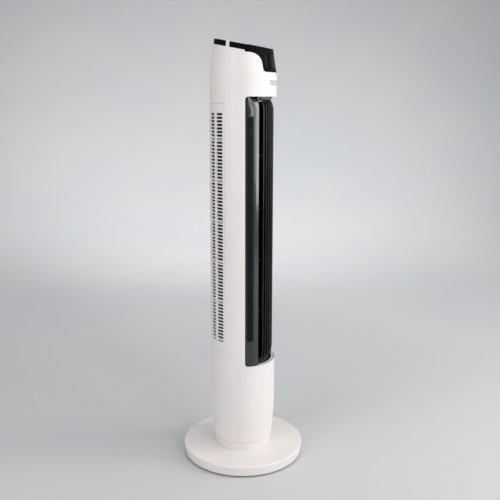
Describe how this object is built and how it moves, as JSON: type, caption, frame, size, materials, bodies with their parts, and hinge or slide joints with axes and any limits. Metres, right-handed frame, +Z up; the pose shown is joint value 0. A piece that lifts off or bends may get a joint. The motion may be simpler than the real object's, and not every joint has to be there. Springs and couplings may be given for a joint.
{
  "type": "tower fan",
  "caption": "Upright cylindrical tower fan on a round base, with a finned front outlet, slotted rear intake and a sloping dark control head.",
  "frame": {"origin": "on the floor, at the middle of the round base", "axes": "+Z up along the column, air leaves towards -Y, +X is to the right of someone facing the fan's front"},
  "size_m": [0.304, 0.304, 1.0378],
  "materials": {
    "white_shell": "satin moulded ABS, warm white",
    "gloss_black": "polished black ABS",
    "satin_black": "satin black",
    "dark_window": "smoked acrylic",
    "key_grey": "satin dark grey keys",
    "screen_mesh": "fine woven nylon mesh",
    "rubber": "matt moulded rubber",
    "plain_steel": "zinc plated",
    "cast_weight": "painted ballast",
    "natural_plastic": "natural acetal",
    "grey_plastic": "moulded grey ABS",
    "motor_steel": "galvanised sheet",
    "copper": "enamelled winding",
    "bronze": "sintered bronze",
    "board_green": "solder resist",
    "part_black": "component plastic"
  },
  "bodies": {
    "base": {"base_cover": "white_shell", "base_plate": "grey_plastic", "base_weight": "cast_weight", "rubber_feet": "rubber", "base_screws": "plain_steel", "base_collar": "white_shell", "pivot_post": "plain_steel", "thrust_washer": "natural_plastic", "retaining_washer": "plain_steel", "swing_gear": "natural_plastic", "lock_nut": "plain_steel"},
    "column": {"turntable": "grey_plastic", "turntable_screws": "plain_steel", "swing_motor": "motor_steel", "lower_chassis": "grey_plastic", "power_board": "board_green", "power_parts": "part_black", "cord_gland": "rubber", "motor_lower_bell": "motor_steel", "motor_upper_bell": "motor_steel", "motor_stator": "plain_steel", "motor_windings": "copper", "motor_bearings": "plain_steel", "motor_mounts": "rubber", "motor_screws": "plain_steel", "lower_end_plate": "satin_black", "upper_end_plate": "satin_black", "bush_holder": "rubber", "upper_bush": "bronze", "scroll": "satin_black", "tongue": "satin_black", "front_housing": "white_shell", "rear_housing": "white_shell", "housing_screws": "plain_steel", "outlet_surround": "gloss_black", "outlet_grille": "satin_black", "side_grille_left": "satin_black", "side_grille_right": "satin_black", "control_cap": "satin_black", "rear_cap": "satin_black", "carry_grip": "satin_black", "display_window": "dark_window", "display_module": "part_black", "receiver": "part_black", "control_board": "board_green", "tact_switches": "part_black"},
    "rotor": {"impeller": "satin_black", "impeller_pin": "plain_steel", "drive_hub": "rubber", "motor_rotor": "plain_steel", "motor_shaft": "plain_steel"},
    "swing_drive": {"swing_pinion": "natural_plastic", "swing_motor_shaft": "plain_steel"},
    "rear_panel": {"rear_grille": "white_shell", "dust_screen": "screen_mesh"},
    "power_key": {"power_button": "key_grey"},
    "speed_key": {"speed_button": "key_grey"},
    "mode_key": {"mode_button": "key_grey"},
    "timer_key": {"timer_button": "key_grey"},
    "swing_key": {"swing_button": "key_grey"}
  },
  "joints": [
    {"name": "column_swing", "type": "hinge", "parent": "base", "child": "column", "pos_m": [0, 0, 0.05], "axis": [0, 0, 1], "range_deg": [-40, 40]},
    {"name": "rotor_spin", "type": "hinge", "parent": "column", "child": "rotor", "pos_m": [0, 0.012, 0.3], "axis": [0, 0, 1], "continuous": true},
    {"name": "pinion_spin", "type": "hinge", "parent": "column", "child": "swing_drive", "pos_m": [0.04, 0, 0.065], "axis": [0, 0, 1], "range_deg": [-124, 124]},
    {"name": "rear_grille_pull", "type": "slide", "parent": "column", "child": "rear_panel", "axis": [0, 1, 0], "range_m": [0, 0.12]},
    {"name": "power_press", "type": "slide", "parent": "column", "child": "power_key", "axis": [0, 0.1895, -0.9819], "range_m": [0, 0.0012], "stiffness_N_per_m": 500, "springref_m": -0.0004},
    {"name": "speed_press", "type": "slide", "parent": "column", "child": "speed_key", "axis": [0, 0.1895, -0.9819], "range_m": [0, 0.0012], "stiffness_N_per_m": 500, "springref_m": -0.0004},
    {"name": "mode_press", "type": "slide", "parent": "column", "child": "mode_key", "axis": [0, 0.1895, -0.9819], "range_m": [0, 0.0012], "stiffness_N_per_m": 500, "springref_m": -0.0004},
    {"name": "timer_press", "type": "slide", "parent": "column", "child": "timer_key", "axis": [0, 0.1895, -0.9819], "range_m": [0, 0.0012], "stiffness_N_per_m": 500, "springref_m": -0.0004},
    {"name": "swing_press", "type": "slide", "parent": "column", "child": "swing_key", "axis": [0, 0.1895, -0.9819], "range_m": [0, 0.0012], "stiffness_N_per_m": 500, "springref_m": -0.0004}
  ],
  "couplings": [
    {"joint": "pinion_spin", "follows": "column_swing", "ratio": 3}
  ]
}
